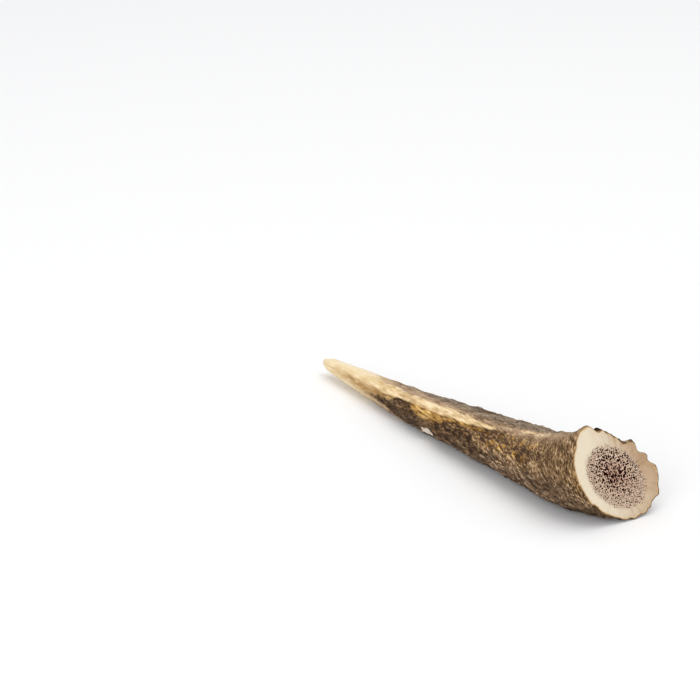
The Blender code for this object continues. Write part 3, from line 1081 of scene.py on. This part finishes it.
def bark_tone(seen, noise, near_cut):
    """The tone of every point, and the height of its finest relief."""
    s = seen["distance"]
    calm = summed(seen, CALM)
    fleck = blend(noise["fleck"], noise["stroke"], near_cut * STROKE_SHARE)
    fleck = blend(fleck, noise["streak"], summed(seen, SMOOTH)) * (1.0 - seen["ivory"] * IVORY_CALM)
    crack = blend(noise["split"], noise["crack"], near_cut)
    cracks = (exp(crack * crack * -CRACK_SHARPNESS) - CRACK_MEAN) * (1.0 - calm)
    cracks = cracks * exp(-(s / CRACK_RUN) * (s / CRACK_RUN))
    tone = TONE.middle + fleck * blend(TONE.fleck, TONE.calm_fleck, calm)
    # Grooves darker and raised relief lighter: partly dirt and wear, partly painted shade and painted light
    tone = tone - seen["groove"] * TONE.groove - cracks * TONE.crack
    tone = tone + seen["relief"] * blend(TONE.relief, TONE.calm_relief, calm)
    tone = tone + noise["mottle"] * TONE.mottle * (1.0 - near_cut * TONE.mottle_lost_at_cut)
    spots = seen["pearl"] * TONE.spot_pearl - TONE.spot_bed + noise["mottle"] * TONE.spot_mottle
    tone = tone + seen["spots"] * spots
    hills = (fleck * FLECK_HILLS - cracks * CRACK_HILLS) * (1.0 - seen["ivory"] * IVORY_FLAT)
    return tone, hills


print("finishes with streaks:", list(SMOOTH), "and the calm ones:", list(CALM))

# %% [markdown]
# Now the finishes are laid over each other like coats, with ragged edges, because wear stops at the next
# ridge. Dry bark hardly shines, so its specular level is low, and only the ivory is glossier.

# %% Bark material
TO_MIDDLE, TO_LIGHT = (-0.05, 0.55), (0.45, 1.0)      # tones over which the three colours change
COAT_EDGE = (0.25, 0.75)      # most patches change quickly at their edges
SOFT_COATS = ("top", "pale", "lit tip top", "tan")         # these pass over slowly
SOFT_EDGE = (0.0, 1.0)
PEARL_EDGE = (0.15, 0.6)
EDGE = SimpleNamespace(ragged=0.35, mottle=0.2, soft=0.7, pearl=0.8)   # how far noise moves an edge
BARK_ROUGHNESS, IVORY_ROUGHNESS = 0.68, 0.4


def finish_bark():
    bark.use_nodes = True
    tree = bark.node_tree
    seen, noise = read_bark(tree)
    s = seen["distance"]
    near_cut = exp(-(s / BARK["burr_run"]) * (s / BARK["burr_run"]))
    tone, hills = bark_tone(seen, noise, near_cut)
    to_middle, to_light = smooth_step(*TO_MIDDLE, tone), smooth_step(*TO_LIGHT, tone)
    edge = noise["ragged"] * EDGE.ragged + noise["mottle"] * EDGE.mottle
    edge = blend(edge, noise["stroke"], near_cut * STROKE_SHARE)
    amounts = {name: smooth_step(*SOFT_EDGE, seen[name] + edge * EDGE.soft) for name in SOFT_COATS}
    amounts["brown"] = 1.0
    amounts["ivory"] = seen["ivory"]
    amounts["burr pearl"] = smooth_step(*PEARL_EDGE, seen["burr pearl"] + edge * EDGE.pearl)
    paint = colour(TONES["brown"][1])
    for name, (dark, middle, light) in TONES.items():
        if name not in amounts:
            amounts[name] = smooth_step(*COAT_EDGE, seen[name] + edge)
        own = colour(dark)
        for rise, next_tone in ((to_middle, middle), (to_light, light)):
            own = add(tree, "ShaderNodeMix", {"data_type": "RGBA"},
                      {0: rise, 6: own, 7: colour(next_tone)}).outputs[2]
        paint = add(tree, "ShaderNodeMix", {"data_type": "RGBA"},
                    {0: amounts[name], 6: paint, 7: own}).outputs[2]
    normal = add(tree, "ShaderNodeBump", None, {"Strength": 1.0, "Distance": MM, "Height": hills}).outputs[0]
    fill(tree, tree.nodes["Principled BSDF"], {
        "Base Color": paint, "Roughness": blend(BARK_ROUGHNESS, IVORY_ROUGHNESS, seen["ivory"]),
        "Specular IOR Level": 0.16, "Normal": normal})


finish_bark()
print("nodes of the bark material:", len(bark.node_tree.nodes))

# %% [markdown]
# The sawn bone is fine and dense, cut by a saw and then lightly sanded, so it is matt and cream, and a
# little darker towards its far side. The core's walls are pinker bone with light specks that are partly
# painted highlight, and the margin of the core is peppered with pores too small to model, so they are
# only painted.

# %% Sawn bone material
SPOKES = 14.0                 # the veins run out to the rim: they change this fast around the face
SPOKES_OUT = 4.0              # and this fast along its radius
VEIN_PITCH = 1.3


def finish_sawn():
    sawn.use_nodes = True
    tree = sawn.node_tree
    place = add(tree, "ShaderNodeTexCoord").outputs["Object"]
    seen = {}
    for name in ("share", "core", "angle"):
        seen[name] = Term(tree, add(tree, "ShaderNodeAttribute", {"attribute_name": name}).outputs["Fac"])
    share, core, angle = seen["share"], seen["core"], seen["angle"]
    spokes = (cosine(angle) * SPOKES, sine(angle) * SPOKES, share * SPOKES_OUT)
    noise = {}
    for name, vector, pitch, detail in (
            ("wide", place, 5.0 * MM, 2.0), ("fine", place, 0.5 * MM, 1.0),
            ("pepper", place, 0.35 * MM, 1.0), ("veins", spokes, VEIN_PITCH, 2.0)):
        node = add(tree, "ShaderNodeTexNoise", None,
                   {"Vector": vector, "Scale": 1.0 / pitch, "Detail": detail})
        noise[name] = (Term(tree, node.outputs[0]) - 0.5) * 2.0
    wide, fine, veins = noise["wide"], noise["fine"], noise["veins"]
    split = add(tree, "ShaderNodeSeparateXYZ", None, {0: place})
    across, height = (Term(tree, split.outputs[axis]) / MM for axis in ("Y", "Z"))
    # Masks from 0 to 1: the far side is measured in mm, the others in shares of the face or of the core
    far_side = smooth_step(-7.0, 13.0, across + wide * 5.0) * smooth_step(1.0, 15.0, height, 0.6, 1.0)
    near_rim = smooth_step(0.94, 0.99, share + wide * 0.02)
    inside = 1.0 - smooth_step(0.86, 1.06, core + wide * 0.06 + fine * 0.06)
    middle = 1.0 - smooth_step(0.1, 0.85, core + wide * 0.15)
    pepper = inside * smooth_step(0.5, 0.9, core) * smooth_step(-0.1, 0.3, noise["pepper"])
    rind = smooth_step(0.972, 0.99, share + veins * 0.02 + fine * 0.015)
    paint = colour("#E4D6BC")
    for amount, coat in (
            # The face is darker towards its far side
            (far_side, "#BC9D7C"),
            (far_side * smooth_step(0.8, 1.0, share + wide * 0.05) * 0.5, "#A98459"),
            (smooth_step(-0.2, 0.5, veins) * blend(0.04, 0.85, far_side), "#A58360"),
            (smooth_step(0.1, 0.7, wide) * 0.5, "#DFC6A0"),
            (smooth_step(0.1, 0.6, fine) * 0.2, "#C8AE90"),
            (near_rim * 0.8, "#D6B27C"),
            (inside, "#B8987C"),
            # Light specks on the core's walls: partly light bone, partly painted highlight where the walls
            # catch the light
            (inside * smooth_step(-0.4, 0.6, fine), "#E6D0B8"),
            (middle * smooth_step(0.7, -0.5, fine) * 0.85, "#8A5644"),
            (pepper * 0.65, "#7A6252"),
            (rind, "#B08850"),
            (rind * blend(0.25, 1.0, far_side), "#4A3018")):
        paint = add(tree, "ShaderNodeMix", {"data_type": "RGBA"},
                    {0: amount, 6: paint, 7: colour(coat)}).outputs[2]
    hills = fine * 0.03       # in mm
    normal = add(tree, "ShaderNodeBump", None, {"Strength": 1.0, "Distance": MM, "Height": hills}).outputs[0]
    fill(tree, tree.nodes["Principled BSDF"], {"Base Color": paint, "Roughness": 0.6, "Normal": normal})


finish_sawn()
print("nodes of the sawn bone material:", len(sawn.node_tree.nodes))

# %% [markdown]
# Dried marrow lines the pores, dark red-brown and matt. Plain black would look like holes in a picture, so
# the walls keep some red, and only the floors, which the nodes marked as sunk, go nearly black as painted
# shade at the bottom of each pit.

# %% Marrow material
def finish_marrow():
    marrow.use_nodes = True
    tree = marrow.node_tree
    sunk = Term(tree, add(tree, "ShaderNodeAttribute", {"attribute_name": "sunk"}).outputs["Fac"])
    # Painted shade: the floors of the pores are darkened to nearly black
    paint = add(tree, "ShaderNodeMix", {"data_type": "RGBA"},
                {0: smooth_step(0.0, 0.3, sunk), 6: colour("#54281B"), 7: colour("#3A1208")}).outputs[2]
    fill(tree, tree.nodes["Principled BSDF"],
         {"Base Color": paint, "Roughness": 0.85, "Specular IOR Level": 0.05})


finish_marrow()
print("nodes of the marrow material:", len(marrow.node_tree.nodes))

# %% [markdown]
# The camera stands where a photographer would: a long lens, looking down a little and along the antler from
# the side of the cut, so that both the face and the run of the beam show. The middle of the cut is aimed at
# a chosen place in the picture, and the camera backs away from there.

# %% Camera
VIEW_AZIMUTH = 55.58
VIEW_ELEVATION = 21.0
PICTURE = 700.0               # pixels across
FOCAL_PIXELS = 2862.0         # focal length in the same pixels
FACE_AT = (616.0, 473.0)      # pixel where the middle of the cut shows
FACE_HEIGHT = 15.0            # its height over the surface
AWAY = 900.0                  # distance along the view, in mm
SENSOR = 36.0

camera_data = bpy.data.cameras.new("camera")
camera_data.sensor_width = SENSOR
camera_data.lens = SENSOR * FOCAL_PIXELS / PICTURE
camera_data.clip_start = 0.05
camera_data.clip_end = 20.0
camera = bpy.data.objects.new("camera", camera_data)
bpy.context.scene.collection.objects.link(camera)
level = cosine(VIEW_ELEVATION)
forward = Vector((-sine(VIEW_AZIMUTH) * level, cosine(VIEW_AZIMUTH) * level, -sine(VIEW_ELEVATION)))
right = Vector((cosine(VIEW_AZIMUTH), sine(VIEW_AZIMUTH), 0.0))
upward = right.cross(forward)
face_middle = origin + Vector((0.0, 0.0, FACE_HEIGHT * MM))
aside = (FACE_AT[0] - PICTURE / 2.0) / FOCAL_PIXELS
below = (FACE_AT[1] - PICTURE / 2.0) / FOCAL_PIXELS
camera.location = face_middle - AWAY * MM * (forward + aside * right - below * upward)
camera.rotation_euler = Matrix((right, upward, -forward)).transposed().to_euler()
bpy.context.scene.camera = camera
print("lens in mm:", round(camera_data.lens), "camera at, in mm:", in_mm(camera.location))

# %% [markdown]
# A plain studio: white paper, an even bright surround, a large soft lamp overhead and a second one low at
# the front, which opens the shadow under the antler. Large lamps give soft shadow edges, so the only hard
# lines in the picture are the antler's own.

# %% Floor and light
floor_mesh = bpy.data.meshes.new("floor")
floor_mesh.from_pydata([(-4, -4, 0), (4, -4, 0), (4, 4, 0), (-4, 4, 0)], [], [(0, 1, 2, 3)])   # in metres
floor = bpy.data.objects.new("floor", floor_mesh)
bpy.context.scene.collection.objects.link(floor)
# Matt white card: it takes the soft shadow and mirrors nothing
paper = bpy.data.materials.new("white paper sweep")
paper.use_nodes = True
fill(paper.node_tree, paper.node_tree.nodes["Principled BSDF"],
     {"Base Color": colour("#F6F6F6"), "Roughness": 0.9})
floor_mesh.materials.append(paper)

world = bpy.data.worlds.new("studio")
bpy.context.scene.world = world
world.use_nodes = True
fill(world.node_tree, world.node_tree.nodes["Background"],
     {"Color": colour("#F9FBFF"), "Strength": 0.7})


def softbox(name, place, size, watts, tint="#FFFFFF"):
    """A round lamp that shines at the antler. Its place and its size are in metres."""
    data = bpy.data.lights.new(name, "AREA")
    data.shape = "DISK"
    data.size = size
    data.energy = watts
    data.color = colour(tint)[:3]
    lamp = bpy.data.objects.new(name, data)
    lamp.location = place
    lamp.rotation_euler = (Vector((0, 0, 0.01)) - Vector(place)).to_track_quat("-Z", "Y").to_euler()
    bpy.context.scene.collection.objects.link(lamp)


softbox("key", (-0.12, 0.15, 1.2), 1.4, 6.5, "#FFFCF6")
softbox("fill", (0.68, -0.95, 0.46), 1.0, 6.0)
bpy.context.scene.view_settings.view_transform = "Standard"
